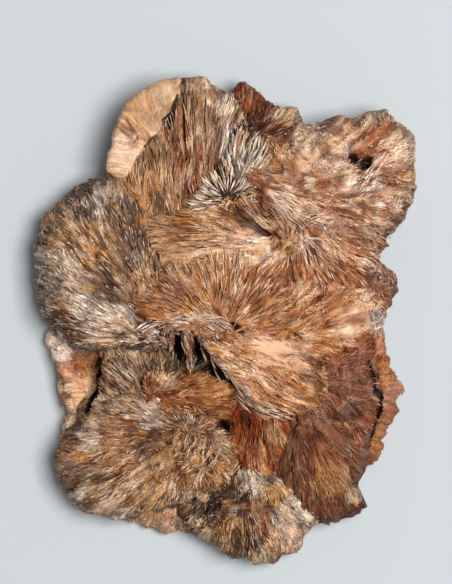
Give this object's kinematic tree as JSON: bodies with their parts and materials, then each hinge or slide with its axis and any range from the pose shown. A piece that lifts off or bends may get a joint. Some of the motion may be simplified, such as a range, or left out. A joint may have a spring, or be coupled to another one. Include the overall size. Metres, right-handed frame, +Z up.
{
  "type": "barite specimen",
  "caption": "Flat-lying mass of barite: overlapping fans of thin bladed crystals, rust brown to cream, on a flat resting face.",
  "frame": {"origin": "on the flat resting face, at the middle of the specimen's width and length", "axes": "+Z up from the resting face, +Y along the length towards the tall ribbed fan at the head, +X across the width towards the round fan that stands out at the head's right"},
  "size_m": [0.1414, 0.1795, 0.0505],
  "materials": {
    "barite": "dull, rough from crested blades, iron-stained rust to cream"
  },
  "bodies": {
    "root": {"barite_cluster": "barite"}
  },
  "joints": []
}
